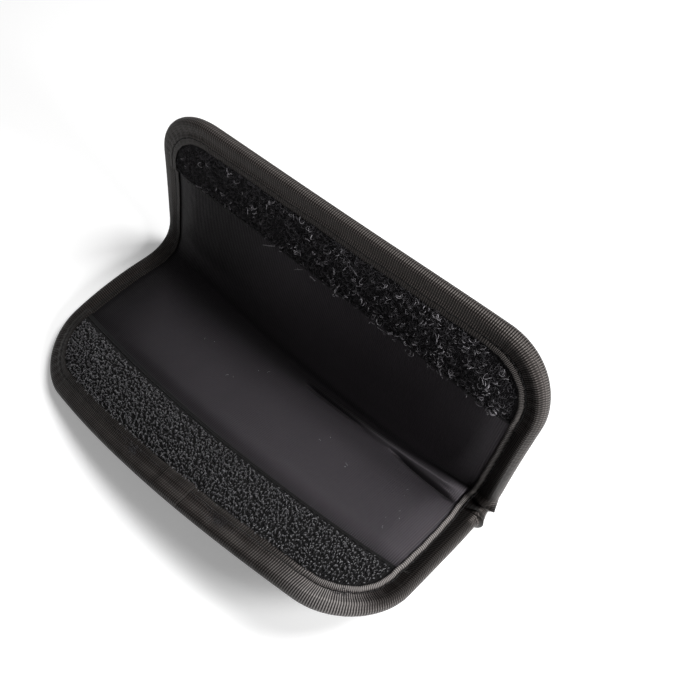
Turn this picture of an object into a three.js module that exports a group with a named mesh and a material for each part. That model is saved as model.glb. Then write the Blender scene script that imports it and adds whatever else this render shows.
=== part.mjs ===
import * as THREE from "three";
import { mergeVertices } from "three/addons/utils/BufferGeometryUtils.js";

// Seat belt shoulder pad: foam between a cover and a lining, bound round the rim,
// with a hook tape on one leaf and a loop tape on the other. It lies open, bent
// along its middle fold, the hook leaf low and the loop leaf standing up.
// Millimetres and degrees, Z up. The pad rests on Z = 0.

// The pad laid out flat
const padLength = 150;
const padWidth = 126.5;
const cornerRadius = 21.7;

// Sheets, from the belt side outwards
const liningThickness = 0.45;
const foamThickness = 4.8;
const foamAtSeam = 0.9;
const coverThickness = 0.65;
const layerGap = 0.3;
const swellRun = 12;
const sheetInset = 1.5;

// Binding tape folded over the rim
const bindingThickness = 0.5;
const bindingFace = 7.5;
const bindingBack = 8;
const rimTurn = 1.6;
const rimBevel = 0.35;
const rimHollow = 0.65;
const hollowTurn = 1.1;
const seamInset = 5.3;
const seamDepth = 0.15;
const lapLength = 11;
const lapPlace = -1;
const lapThickness = 0.4;
const lapRamp = 0.4;

// Hook and loop tapes
const tapeWidth = 20;
const tapeThickness = 0.5;
const tapeTuck = 2.5;
const selvedge = 2.5;
const hookHeight = 1.3;
const hookRows = 7;
const hookRowDepth = 0.45;
const pileHeight = 1.7;
const pileLump = 0.25;
const pileLumpLength = 11.4;
const pileLumpWidth = 7;
const pileLumpDrift = 30;
const pileSteps = 5;
const fieldClearance = 0.4;
const fieldRamp = 1;
const tapeEndRow = 3;
const tuckSlope = 1;

// Bend of the pad, each at the left end, the middle and the right end
const lowerTilt = [-14.2, -15.1, -16.1];
const foldTurn = [95, 77.4, 105.3];
const foldHalfWidth = [13.4, 10.7, 8.1];
const lowerBend = [29.2, -3.6, -18.6];
const lowerCurl = 11.2;
const upperBend = [-5.6, 9.2, -36.6];
const upperCurl = 9.9;
const foldSideways = [4.2, 0, 5.6];
const foldRise = [0.1, 0, 1.5];

// How the bent pad leans when it rests
const leanAboutX = -0.9;
const leanAboutY = 0.75;
const restFlat = 0.35;

// Creases that the fold leaves in the lining and the foam
const valleyPlace = 1;
const valleyDepth = 0.9;
const valleyWidth = 2.2;
const rollPlace = -1.8;
const rollHeight = 1;
const rollWidth = 1.7;
const grooveDepth = 1;
const grooveWidth = 1.3;
const grooveAtMiddle = -3.2;
const grooveAtRight = -6;

// Pleats of the binding where the fold crosses the right end, and corner gathers
const pleatPlaces = [-0.2, -6];
const pleatHeight = 1.2;
const pleatRise = 4.5;
const pleatDrop = 1.3;
const pleatLift = 0.8;
const drawnIn = 0.3;
const drawnPlace = -5;
const drawnWidth = 7;
const gatherHeight = 0.35;
const gathersPerCorner = 3;

// How finely each piece is divided
const swellRows = [3, 7, 12];
const leafSteps = 2;
const foldSteps = 7;
const middleSteps = 8;
const bendSteps = 40;
const bindingCornerSteps = 11;
const bindingLengthSteps = 8;
const tapeLengthSteps = 9;
const foldZone = 14;
const foldZonePlace = -2;

const halfLength = padLength / 2;
const halfWidth = padWidth / 2;
const radians = THREE.MathUtils.degToRad;

function smooth(t) {
  const x = THREE.MathUtils.clamp(t, 0, 1);
  return x * x * (3 - 2 * x);
}

function bell(distance, width) {
  return Math.exp(-((distance / width) ** 2));
}

// A value that runs from the left end through the middle to the right end
function alongPad([left, middle, right], u) {
  const t = u / halfLength;
  return middle + ((right - left) / 2) * t + ((right + left) / 2 - middle) * t * t;
}

// Slope of the pad's section at u along the fold and v across it
function slopeAt(u, v) {
  const fold = alongPad(foldHalfWidth, u);
  const lower = Math.max(-v / halfWidth, 0);
  const upper = Math.max(v / halfWidth, 0);
  const degrees = alongPad(lowerTilt, u)
    + alongPad(foldTurn, u) * smooth((v + fold) / (2 * fold))
    + alongPad(lowerBend, u) * lower + lowerCurl * lower * lower
    + alongPad(upperBend, u) * upper + upperCurl * upper * upper;
  return radians(degrees);
}

// A point of the bent pad: u along the fold, v across it, w through its thickness
function bent(u, v, w) {
  let y = alongPad(foldSideways, u);
  let z = alongPad(foldRise, u);
  const step = v / bendSteps;
  for (let i = 0; i < bendSteps; i += 1) {
    const slope = slopeAt(u, (i + 0.5) * step);
    y += Math.cos(slope) * step;
    z += Math.sin(slope) * step;
  }
  const slope = slopeAt(u, v);
  return new THREE.Vector3(u, y - Math.sin(slope) * w, z + Math.cos(slope) * w);
}

// Distance in from the rim of the flat pad
function insetOf(u, v) {
  const alongU = Math.abs(u) - (halfLength - cornerRadius);
  const alongV = Math.abs(v) - (halfWidth - cornerRadius);
  if (alongU > 0 && alongV > 0) {
    return cornerRadius - Math.hypot(alongU, alongV);
  }
  return Math.min(halfLength - Math.abs(u), halfWidth - Math.abs(v));
}

// Half the length of the pad at v, inside a line that runs the given inset from the rim
function halfLengthAt(v, inset) {
  const radius = cornerRadius - inset;
  const intoCorner = Math.abs(v) - (halfWidth - cornerRadius);
  if (intoCorner <= 0) {
    return halfLength - inset;
  }
  const reach = Math.min(intoCorner, radius);
  return halfLength - cornerRadius + Math.sqrt(radius * radius - reach * reach);
}

// Foam and lining swell inwards from the seam
function swell(inset) {
  const t = THREE.MathUtils.clamp((inset - seamInset) / swellRun, 0, 1);
  return 1 - (1 - t) ** 2;
}

function foamHalf(u, v) {
  const rise = (foamThickness - foamAtSeam) / 2;
  return foamAtSeam / 2 + rise * swell(insetOf(u, v));
}

// The valley along the fold, the roll beside it and the broken groove below the roll
function creaseAt(u, v) {
  const t = u / halfLength;
  const inside = smooth((insetOf(u, v) - seamInset) / swellRun);
  const valley = valleyDepth * (0.6 + 0.4 * smooth(t + 0.5)) * bell(v - valleyPlace, valleyWidth);
  const roll = rollHeight * smooth(t * 2 + 0.2) * bell(v - rollPlace, rollWidth);
  const grooveLine = THREE.MathUtils.lerp(grooveAtMiddle, grooveAtRight, t);
  const broken = smooth(t * 6) * (1 - 0.8 * bell(t - 0.49, 0.09));
  const groove = grooveDepth * broken * bell(v - grooveLine, grooveWidth);
  return inside * (roll - valley - groove);
}

const foamBottom = (u, v) => -foamHalf(u, v);
const foamTop = (u, v) => foamHalf(u, v) + creaseAt(u, v);
const liningBottom = (u, v) => foamTop(u, v) + layerGap;
const liningTop = (u, v) => liningBottom(u, v) + liningThickness;
const coverTop = (u, v) => foamBottom(u, v) - layerGap;
const coverBottom = (u, v) => coverTop(u, v) - coverThickness;

const tapeOuterInset = bindingFace - tapeTuck;
const tapeOuter = halfWidth - tapeOuterInset;
const tapeInner = tapeOuter - tapeWidth;

// Rows of a sheet across the fold, from the rim of one leaf to the rim of the other
function sheetRows() {
  const corner = rimRows.map((distance) => halfWidth - sheetInset - distance);
  return [...corner.map((v) => -v), ...middleRows(), ...corner.reverse()];
}

// Rows between the corners, close together where the pad folds
function middleRows() {
  const reach = halfWidth - cornerRadius;
  const low = foldZonePlace - foldZone;
  const high = foldZonePlace + foldZone;
  const rows = [];
  for (let i = 0; i < leafSteps; i += 1) {
    rows.push(THREE.MathUtils.lerp(-reach, low, i / leafSteps));
  }
  for (let i = -foldSteps; i <= foldSteps; i += 1) {
    const t = i / foldSteps;
    rows.push(foldZonePlace + Math.sign(t) * foldZone * Math.abs(t) ** 1.3);
  }
  for (let i = 1; i <= leafSteps; i += 1) {
    rows.push(THREE.MathUtils.lerp(high, reach, i / leafSteps));
  }
  return rows;
}

// Places along a row: some at set distances from each end, the rest spread between
function placesAlong(half, fromEnd, steps) {
  const ends = fromEnd.map((distance) => half - distance);
  const inner = half - fromEnd[fromEnd.length - 1];
  const places = ends.map((u) => -u);
  for (let i = 1; i < steps; i += 1) {
    places.push(-inner + (2 * inner * i) / steps);
  }
  return [...places, ...ends.reverse()];
}

// Split each square of the under face along the same diagonal as the one above it
function turnDiagonals(geometry) {
  const index = geometry.index;
  const underFace = geometry.groups[5];
  for (let i = underFace.start; i < underFace.start + underFace.count; i += 6) {
    index.setX(i + 2, index.getX(i + 4));
    index.setX(i + 3, index.getX(i));
  }
}

// A thin body over a grid of rows, between an under face and an upper face
function sheetGeometry(rows, rowPlaces, under, upper) {
  const columns = rowPlaces(rows[0]).length - 1;
  const geometry = new THREE.BoxGeometry(1, 1, 1, columns, rows.length - 1, 1);
  const grid = rows.map((v) => rowPlaces(v));
  const position = geometry.attributes.position;
  for (let i = 0; i < position.count; i += 1) {
    const column = Math.round((position.getX(i) + 0.5) * columns);
    const row = Math.round((position.getY(i) + 0.5) * (rows.length - 1));
    const u = grid[row][column];
    const v = rows[row];
    const w = position.getZ(i) > 0 ? upper(u, v) : under(u, v);
    const point = bent(u, v, w);
    position.setXYZ(i, point.x, point.y, point.z);
  }
  turnDiagonals(geometry);
  return geometry;
}

// Grid lines at set distances in from the edge of a sheet, one of them on the seam
const ontoSeam = seamInset - sheetInset;
const beyondSeam = swellRows.map((distance) => ontoSeam + distance);
const rimRows = [0, ontoSeam * 0.35, ontoSeam, ...beyondSeam];
const sheetEnds = [0, ontoSeam, ...beyondSeam];

function padSheet(under, upper) {
  const rowPlaces = (v) => placesAlong(halfLengthAt(v, sheetInset), sheetEnds, middleSteps);
  return sheetGeometry(sheetRows(), rowPlaces, under, upper);
}

// How far the hook or loop field stands above its tape
function fieldRise(u, v) {
  const fromBinding = insetOf(u, v) - bindingFace - fieldClearance;
  const fromSelvedge = Math.abs(v) - fieldInner;
  const nearest = Math.min(fromBinding, fromSelvedge + fieldRamp);
  return smooth(nearest / fieldRamp);
}

// Where the field of a tape lies across the pad, from the selvedge to the binding
const fieldInner = tapeInner + selvedge;
const fieldOuter = halfWidth - bindingFace - fieldClearance - fieldRamp;

// A tape on the leaf given by side, its ends cut to the curve of the rim
function tapeGeometry(side, fieldSteps, heightAt) {
  const raised = bindingFace + fieldClearance - tapeOuterInset;
  const rows = [tapeInner, fieldInner - fieldRamp, fieldOuter + fieldRamp, tapeOuter];
  for (let i = 0; i <= fieldSteps; i += 1) {
    rows.push(THREE.MathUtils.lerp(fieldInner, fieldOuter, i / fieldSteps));
  }
  const ordered = rows.map((v) => v * side).sort((a, b) => a - b);
  const ends = [0, raised, raised + fieldRamp, raised + tapeEndRow, raised + 2 * tapeEndRow];
  const rowPlaces = (v) => placesAlong(halfLengthAt(v, tapeOuterInset), ends, tapeLengthSteps);
  const under = (u, v) => liningTop(u, v) + layerGap;
  const upper = (u, v) => under(u, v) + tapeThickness + heightAt(u, v) * fieldRise(u, v);
  return sheetGeometry(ordered, rowPlaces, under, upper);
}

// How far the binding rises to pass over a tape that is tucked under it
function tuckRise(u, v) {
  const across = Math.min(tapeOuter - Math.abs(v), Math.abs(v) - tapeInner);
  const inwards = insetOf(u, v) - tapeOuterInset;
  const within = Math.min(across, inwards);
  return (tapeThickness + layerGap) * smooth(within / tuckSlope + 1);
}

// Points round the rim with the direction that leads inwards from each
function rimStations() {
  const stations = [];
  const reachU = halfLength - cornerRadius;
  const reachV = halfWidth - cornerRadius;
  const beside = [tapeInner, tapeInner - tuckSlope];
  const inner = [...middleRows().slice(1, -1), ...beside, ...beside.map((v) => -v)];
  const pleated = [...inner, ...pleatPlaces, ...pleatPlaces.map((v) => v - pleatDrop)];
  const lapEnds = [lapPlace - lapLength / 2, lapPlace + lapLength / 2];
  const onLap = lapEnds.flatMap((u) => [u - lapRamp / 2, u + lapRamp / 2]);
  const addCorner = (sideU, sideV, start) => {
    for (let i = 0; i <= bindingCornerSteps; i += 1) {
      const angle = radians(start + (90 * i) / bindingCornerSteps);
      const c = Math.cos(angle);
      const s = Math.sin(angle);
      stations.push({
        u: sideU * reachU + cornerRadius * c,
        v: sideV * reachV + cornerRadius * s,
        inU: -c,
        inV: -s,
        turn: i / bindingCornerSteps,
      });
    }
  };
  const addLong = (sideV, extra) => {
    const places = [...extra];
    for (let i = 1; i < bindingLengthSteps; i += 1) {
      places.push(THREE.MathUtils.lerp(-reachU, reachU, i / bindingLengthSteps));
    }
    places.sort((a, b) => sideV * (b - a));
    for (const u of places) {
      stations.push({ u, v: sideV * halfWidth, inU: 0, inV: -sideV, turn: 0 });
    }
  };
  const addEnd = (sideU, places) => {
    places.sort((a, b) => sideU * (a - b));
    for (const v of places) {
      stations.push({ u: sideU * halfLength, v, inU: -sideU, inV: 0, turn: 0 });
    }
  };
  addCorner(1, 1, 0);
  addLong(1, []);
  addCorner(-1, 1, 90);
  addEnd(-1, inner);
  addCorner(-1, -1, 180);
  addLong(-1, onLap);
  addCorner(1, -1, 270);
  addEnd(1, pleated);
  return stations;
}

// Profile of one pleat: a slow rise to its edge, then a quick drop
function pleatAt(distance) {
  const run = distance > 0 ? pleatRise : pleatDrop;
  return pleatHeight * (1 - smooth(Math.abs(distance) / run));
}

// How far the rim stands out where the fold crosses the right end
function standOut({ v, inU }) {
  if (inU > -0.99) {
    return 0;
  }
  const pleats = pleatPlaces.reduce((sum, place) => sum + pleatAt(v - place), 0);
  return pleats - drawnIn * bell(v - drawnPlace, drawnWidth);
}

function gatherAt({ turn }) {
  return gatherHeight * Math.sin(Math.PI * gathersPerCorner * turn) ** 2;
}

function lapAt({ u, v }) {
  const onLap = Math.abs(u - lapPlace) < lapLength / 2 && v < seamInset - halfWidth;
  return onLap ? lapThickness : 0;
}

// Section of the binding at a station, as inset and height, once round the tape
function bindingSection(station) {
  const at = (inset) => [station.u + station.inU * inset, station.v + station.inV * inset];
  const front = (inset) => {
    const place = at(inset);
    return liningTop(...place) + layerGap + tuckRise(...place);
  };
  const back = (inset) => coverBottom(...at(inset)) - layerGap;
  const out = standOut(station);
  const bevel = rimBevel - out * 0.6;
  const full = Math.max(out, 0) * pleatLift + lapAt(station);
  const gather = gatherAt(station);
  const t = bindingThickness;
  const rimFront = front(sheetInset);
  const rimBack = back(sheetInset);
  return [
    [bindingBack, back(bindingBack) - t - gather * 0.5],
    [seamInset, back(seamInset) - t + seamDepth],
    [rimTurn, rimBack - t - full],
    [bevel, rimBack * 0.7 - full],
    [-out, 0],
    [bevel, rimFront * 0.7 + t * 0.5 + full],
    [rimTurn, rimFront + t + full],
    [seamInset, front(seamInset) + t - seamDepth],
    [bindingFace, front(bindingFace) + t + gather],
    [bindingFace, front(bindingFace) + gather * 0.6],
    [seamInset, front(seamInset)],
    [hollowTurn, rimFront],
    [rimHollow, 0],
    [hollowTurn, rimBack],
    [seamInset, back(seamInset)],
    [bindingBack, back(bindingBack)],
  ];
}

// The binding is a ring: its section carried round the rim
function bindingGeometry() {
  const stations = rimStations();
  const sections = stations.map(bindingSection);
  const around = stations.length;
  const across = sections[0].length;
  const geometry = new THREE.TorusGeometry(2, 1, across, around);
  const position = geometry.attributes.position;
  const uv = geometry.attributes.uv;
  for (let i = 0; i < position.count; i += 1) {
    const s = Math.round(uv.getX(i) * around) % around;
    const k = Math.round(uv.getY(i) * across) % across;
    const station = stations[s];
    const [inset, w] = sections[s][k];
    const point = bent(station.u + station.inU * inset, station.v + station.inV * inset, w);
    position.setXYZ(i, point.x, point.y, point.z);
  }
  return geometry;
}

function welded(geometry) {
  geometry.deleteAttribute("normal");
  geometry.deleteAttribute("uv");
  return mergeVertices(geometry, 1e-5);
}

function leaned(geometry) {
  geometry.rotateX(radians(leanAboutX));
  geometry.rotateY(radians(leanAboutY));
  return geometry;
}

function piece(name, geometry, color, roughness) {
  const material = new THREE.MeshStandardMaterial({ color, roughness, metalness: 0 });
  const mesh = new THREE.Mesh(leaned(welded(geometry)), material);
  mesh.name = name;
  return mesh;
}

// Hooks stand in rows along the tape, with a furrow between each two rows
function hookField(u, v) {
  const row = hookRows * THREE.MathUtils.inverseLerp(fieldInner, fieldOuter, Math.abs(v));
  return hookHeight - hookRowDepth * Math.cos(Math.PI * row) ** 2;
}

// The loops stand in uneven tufts
function pileField(u, v) {
  const turn = 2 * Math.PI;
  const long = Math.sin(turn * (u / pileLumpLength));
  const across = Math.sin(turn * (v / pileLumpWidth + u / pileLumpDrift));
  return pileHeight + pileLump * long * across;
}

const pieces = [
  piece("outer_cover", padSheet(coverBottom, coverTop), 0x121214, 0.9),
  piece("foam_core", padSheet(foamBottom, foamTop), 0x303034, 0.95),
  piece("inner_lining", padSheet(liningBottom, liningTop), 0x1a1a1d, 0.6),
  piece("hook_strip", tapeGeometry(-1, hookRows * 2, hookField), 0x0c0c0e, 0.5),
  piece("loop_strip", tapeGeometry(1, pileSteps, pileField), 0x101012, 0.95),
  piece("edge_binding", bindingGeometry(), 0x1b1918, 0.85),
];

// Stand the pad on Z = 0, its lowest skin pressed flat, centred over the origin
function settle(meshes) {
  const box = new THREE.Box3();
  for (const mesh of meshes) {
    mesh.geometry.computeBoundingBox();
    box.union(mesh.geometry.boundingBox);
  }
  const centre = box.getCenter(new THREE.Vector3());
  for (const mesh of meshes) {
    const position = mesh.geometry.attributes.position;
    mesh.geometry.translate(-centre.x, -centre.y, -box.min.z - restFlat);
    for (let i = 0; i < position.count; i += 1) {
      position.setZ(i, Math.max(position.getZ(i), 0));
    }
    mesh.geometry.computeVertexNormals();
  }
}

settle(pieces);

const shoulderPad = new THREE.Group();
shoulderPad.name = "seat_belt_shoulder_pad";
shoulderPad.add(...pieces);

export default shoulderPad;
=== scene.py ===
import math
import random

import bmesh
import bpy
import numpy as np
from mathutils import Matrix, Vector


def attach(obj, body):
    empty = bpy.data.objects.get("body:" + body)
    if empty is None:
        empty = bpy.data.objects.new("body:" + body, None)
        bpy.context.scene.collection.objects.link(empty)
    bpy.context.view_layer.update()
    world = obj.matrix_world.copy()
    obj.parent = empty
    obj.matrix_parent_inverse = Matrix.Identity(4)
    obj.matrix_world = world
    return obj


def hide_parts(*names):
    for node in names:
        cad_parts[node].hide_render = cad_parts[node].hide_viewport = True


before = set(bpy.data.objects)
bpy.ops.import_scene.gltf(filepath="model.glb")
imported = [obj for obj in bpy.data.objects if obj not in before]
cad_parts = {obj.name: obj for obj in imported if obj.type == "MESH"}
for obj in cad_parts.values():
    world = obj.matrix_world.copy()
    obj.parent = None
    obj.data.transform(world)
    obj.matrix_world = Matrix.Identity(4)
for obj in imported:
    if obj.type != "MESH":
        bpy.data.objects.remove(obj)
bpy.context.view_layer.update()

scene = bpy.context.scene
dice = random.Random(41)
mm = 0.001
print("frame loaded:", ", ".join(sorted(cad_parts)))

pad = {  # the pad laid out flat and its layers, in mm
    "halfLength": 75, "halfWidth": 63.25,
    "corner": 21.7, "lining": 0.45,
    "foam": 4.8, "foamAtSeam": 0.9,
    "cover": 0.65, "gap": 0.3, "swellRun": 12, "seam": 5.3,
}

bend = {  # how it is bent: left end, middle, right end, in degrees and mm
    "lowerTilt": (-14.2, -15.1, -16.1),
    "foldTurn": (95, 77.4, 105.3), "foldHalf": (13.4, 10.7, 8.1),
    "lowerBend": (29.2, -3.6, -18.6), "upperBend": (-5.6, 9.2, -36.6),
    "foldSideways": (4.2, 0, 5.6), "foldRise": (0.1, 0, 1.5),
    "lowerCurl": 11.2, "upperCurl": 9.9,
    "pastRim": 1.2,  # the bend goes on this far beyond a leaf, as a share of it
    "leanX": -0.9, "leanY": 0.75,
    "shift": (-0.5026, 17.1453, 3.8307),
}

leanX = Matrix.Rotation(math.radians(bend["leanX"]), 3, "X")
leanY = Matrix.Rotation(math.radians(bend["leanY"]), 3, "Y")
lean = leanY @ leanX
settle = Vector(bend["shift"])


def smooth(t):
    t = np.clip(t, 0, 1)
    return t * t * (3 - 2 * t)


def rising(value, low, high):
    # 0 to 1 as the value goes from low to high
    return smooth((value - low) / (high - low))


def bell(distance, width):
    return np.exp(-((distance / width) ** 2))


def alongPad(key, u):
    left, middle, right = bend[key]
    t = u / pad["halfLength"]
    return middle + (right - left) / 2 * t + ((right + left) / 2 - middle) * t * t


def slopeAt(u, v):
    fold = alongPad("foldHalf", u)
    lower = np.clip(-v / pad["halfWidth"], 0, bend["pastRim"])
    upper = np.clip(v / pad["halfWidth"], 0, bend["pastRim"])
    degrees = alongPad("lowerTilt", u) + alongPad("foldTurn", u) * rising(v, -fold, fold)
    degrees = degrees + alongPad("lowerBend", u) * lower + bend["lowerCurl"] * lower**2
    degrees = degrees + alongPad("upperBend", u) * upper + bend["upperCurl"] * upper**2
    return np.radians(degrees)


def bentOver(flat, steps=40):
    # flat (along, across, up) in mm to the bent, leaning pad in metres
    u, v, w = flat[:, 0], flat[:, 1], flat[:, 2]
    y = alongPad("foldSideways", u)
    z = alongPad("foldRise", u)
    for i in range(steps):
        slope = slopeAt(u, v * (i + 0.5) / steps)
        y = y + np.cos(slope) * v / steps
        z = z + np.sin(slope) * v / steps
    slope = slopeAt(u, v)
    points = np.stack([u, y - np.sin(slope) * w, z + np.cos(slope) * w], 1)
    points = points @ np.array(lean).T + np.array(settle)
    points[:, 2] = np.maximum(points[:, 2], 0)
    return points * mm


def insetOf(u, v):
    # distance in from the rim
    alongU = np.abs(u) - (pad["halfLength"] - pad["corner"])
    alongV = np.abs(v) - (pad["halfWidth"] - pad["corner"])
    straight = np.minimum(pad["halfLength"] - np.abs(u), pad["halfWidth"] - np.abs(v))
    return np.where((alongU > 0) & (alongV > 0), pad["corner"] - np.hypot(alongU, alongV), straight)


def halfLengthAt(v, inset):
    radius = pad["corner"] - inset
    into = np.clip(np.abs(v) - (pad["halfWidth"] - pad["corner"]), 0, radius)
    return pad["halfLength"] - pad["corner"] + np.sqrt(radius**2 - into**2)


crease = {  # what the fold leaves in the lining, in mm; each run is from and to
    "rightRun": (38, 68),
    "valleyPlace": 1, "valleyDepth": 0.9, "valleyWidth": 2.2, "valleyClimb": 2,
    "valleyRun": (-37.5, 37.5), "valleyShallow": 0.6,
    "rollPlace": -1.9, "rollClimb": 1, "rollHeight": 1.3, "rollWidth": 1.9, "rollWidening": 0.6,
    "rollRun": (-7.5, 30),
    "grooveDepth": 1.6, "grooveWidth": 0.85, "grooveMiddle": -3, "grooveRight": -6.2,
    "grooveDrift": (30, 66),
    "firstShare": 0.7, "firstStart": (3, 9), "firstEnd": (32, 23),
    "secondStart": (38, 47), "secondEnd": (69, 62),
    "seatPlace": 38.5, "seatDepth": 1.1, "seatWidth": 3.2,
}


def swell(inset):
    t = np.clip((inset - pad["seam"]) / pad["swellRun"], 0, 1)
    return 1 - (1 - t) ** 2


def foamHalf(u, v):
    return pad["foamAtSeam"] / 2 + (pad["foam"] - pad["foamAtSeam"]) / 2 * swell(insetOf(u, v))


def grooveAt(u, v):
    # two short grooves below the roll, one after the other
    drift = crease["grooveRight"] - crease["grooveMiddle"]
    line = crease["grooveMiddle"] + drift * rising(u, *crease["grooveDrift"])
    first = crease["firstShare"] * rising(u, *crease["firstStart"]) * rising(u, *crease["firstEnd"])
    second = rising(u, *crease["secondStart"]) * rising(u, *crease["secondEnd"])
    return np.maximum(first, second) * bell(v - line, crease["grooveWidth"])


def rollAt(u, v):
    # it widens and climbs towards the right end
    grown = rising(u, *crease["rightRun"])
    middle = crease["rollPlace"] + crease["rollClimb"] * grown
    width = crease["rollWidth"] + crease["rollWidening"] * grown
    return rising(u, *crease["rollRun"]) * bell(v - middle, width)


def creaseAt(u, v):
    inside = rising(insetOf(u, v), pad["seam"], pad["seam"] + pad["swellRun"])
    line = crease["valleyPlace"] + crease["valleyClimb"] * rising(u, *crease["rightRun"])
    shallow = crease["valleyShallow"]
    share = shallow + (1 - shallow) * rising(u, *crease["valleyRun"])
    valley = crease["valleyDepth"] * share * bell(v - line, crease["valleyWidth"])
    roll = crease["rollHeight"] * rollAt(u, v)
    groove = crease["grooveDepth"] * grooveAt(u, v)
    # the tape's inner edge presses into the lower leaf
    seat = crease["seatDepth"] * bell(v + crease["seatPlace"], crease["seatWidth"])
    return inside * (roll - valley - groove - seat)


def liningTop(u, v):
    return foamHalf(u, v) + creaseAt(u, v) + pad["gap"] + pad["lining"]


def coverBottom(u, v):
    return -foamHalf(u, v) - pad["gap"] - pad["cover"]


shot = {  # the photograph's camera, in the frame that leans with the pad: mm, radians, pixels
    "place": (96.754, -80.939, 237.471), "yaw": 0.751, "pitch": 1.059, "roll": 0.003,
    "focal": 807.876, "picture": 700, "sensor": 36, "nearest": 5,
}


def makeCamera():
    yaw, pitch = shot["yaw"], shot["pitch"]
    flat = math.cos(pitch)
    forward = Vector((-math.sin(yaw) * flat, math.cos(yaw) * flat, -math.sin(pitch)))
    right = Vector((math.cos(yaw), math.sin(yaw), 0))
    up = right.cross(forward)
    turn = Matrix.Rotation(shot["roll"], 3, -forward)
    axes = lean @ turn @ Matrix((right, up, -forward)).transposed()
    place = (lean @ Vector(shot["place"]) + settle) * mm
    lens = bpy.data.cameras.new("camera")
    lens.sensor_width = shot["sensor"]
    lens.lens = shot["focal"] * shot["sensor"] / shot["picture"]
    lens.clip_start = shot["nearest"] * mm
    camera = bpy.data.objects.new("camera", lens)
    camera.matrix_world = Matrix.Translation(place) @ axes.to_4x4()
    scene.collection.objects.link(camera)
    scene.camera = camera


makeCamera()
print("camera placed")


def readCorners(mesh):
    points = np.empty(len(mesh.vertices) * 3)
    mesh.vertices.foreach_get("co", points)
    return points.reshape(-1, 3)


def writeCorners(mesh, points):
    mesh.vertices.foreach_set("co", points.ravel())
    mesh.update()


def markWeave(mesh, places):
    # a map in mm of cloth, for the weave to follow
    corners = np.empty(len(mesh.loops), dtype=np.int32)
    mesh.loops.foreach_get("vertex_index", corners)
    layer = mesh.uv_layers.new(name="weave")
    layer.uv.foreach_set("vector", places[corners].astype(np.float32).ravel())


def markPoints(mesh, marks):
    # values at each point, for the materials to read by name
    for name, values in marks.items():
        layer = mesh.attributes.new(name, "FLOAT", "POINT")
        layer.data.foreach_set("value", values)


def shown(name, mesh, material):
    mesh.materials.append(material)
    mesh.shade_smooth()
    piece = bpy.data.objects.new(name, mesh)
    scene.collection.objects.link(piece)
    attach(piece, "root")
    return piece


def only(kind, parts):
    return [part for part in parts if isinstance(part, kind)]


def layFlat(mesh, flat):
    # bends a mesh laid out flat and keeps its flat places for the weave
    markWeave(mesh, flat[:, :2])
    writeCorners(mesh, bentOver(flat))


def forCamera(nodes, links, unseen, seen):
    # one shader for the light that bounces and another for the camera
    pick = nodes.new("ShaderNodeMixShader")
    rays = nodes.new("ShaderNodeLightPath")
    sources = (rays.outputs["Is Camera Ray"], unseen, seen)
    for socket, source in zip(pick.inputs, sources):
        links.new(source, socket)
    return pick.outputs[0]


def meshOf(bm, name):
    mesh = bpy.data.meshes.new(name)
    bm.to_mesh(mesh)
    bm.free()
    return mesh


def flatGrid(name, columns, rows):
    # a flat grid one unit long and wide
    bm = bmesh.new()
    bmesh.ops.create_grid(bm, x_segments=columns, y_segments=rows, size=0.5)
    return meshOf(bm, name)


def thicken(piece, thickness):
    wall = piece.modifiers.new("thickness", "SOLIDIFY")
    wall.thickness = thickness * mm
    wall.offset = -1


black = (0, 0, 0)
white = (1, 1, 1)


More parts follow.
